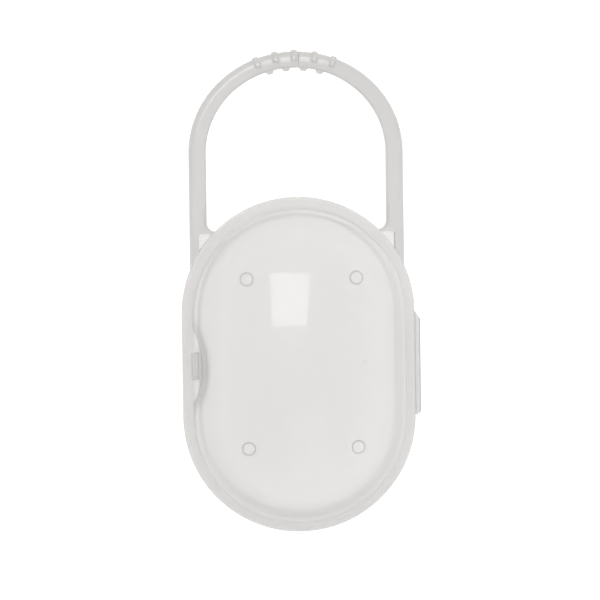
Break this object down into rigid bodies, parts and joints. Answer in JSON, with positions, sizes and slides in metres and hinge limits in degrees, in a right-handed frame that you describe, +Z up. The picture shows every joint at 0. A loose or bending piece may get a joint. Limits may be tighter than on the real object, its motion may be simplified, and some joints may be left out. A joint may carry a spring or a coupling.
{
  "type": "pacifier case",
  "caption": "Oval see-through pacifier case with a hinged domed lid, a snap hook in a finger scoop and a split carrying handle.",
  "frame": {"origin": "centre of the flat spot on the back of the base, which the case lies on", "axes": "+Z up through the lid, +Y towards the carrying handle, +X towards the hinge, -X towards the snap hook"},
  "size_m": [0.0596, 0.1203, 0.045],
  "materials": {
    "milky_polypropylene": "see-through, slightly milky, smooth satin gloss"
  },
  "bodies": {
    "base": {"base_shell": "milky_polypropylene", "hinge_web": "milky_polypropylene", "handle_left_flex": "milky_polypropylene", "handle_right_flex": "milky_polypropylene"},
    "lid": {"lid_shell": "milky_polypropylene"},
    "latch": {"latch_hook": "milky_polypropylene"},
    "left_arm": {"handle_left_arm": "milky_polypropylene"},
    "right_arm": {"handle_right_arm": "milky_polypropylene"}
  },
  "joints": [
    {"name": "lid_hinge", "type": "hinge", "parent": "base", "child": "lid", "pos_m": [0.0301, 0, 0.02255], "axis": [0, 1, 0], "range_deg": [0, 180], "deforming": ["hinge_web"]},
    {"name": "latch_flex", "type": "hinge", "parent": "base", "child": "latch", "pos_m": [-0.02555, 0, 0.0225], "axis": [0, 1, 0], "range_deg": [0, 15], "stiffness_Nm_per_rad": 0.15},
    {"name": "left_arm_flex", "type": "hinge", "parent": "base", "child": "left_arm", "pos_m": [-0.0246, 0.0425, 0.0203], "axis": [0, 0, 1], "range_deg": [0, 8], "stiffness_Nm_per_rad": 2.5, "deforming": ["handle_left_flex"]},
    {"name": "right_arm_flex", "type": "hinge", "parent": "base", "child": "right_arm", "pos_m": [0.0246, 0.0425, 0.0203], "axis": [0, 0, -1], "range_deg": [0, 8], "stiffness_Nm_per_rad": 2.5, "deforming": ["handle_right_flex"]}
  ]
}
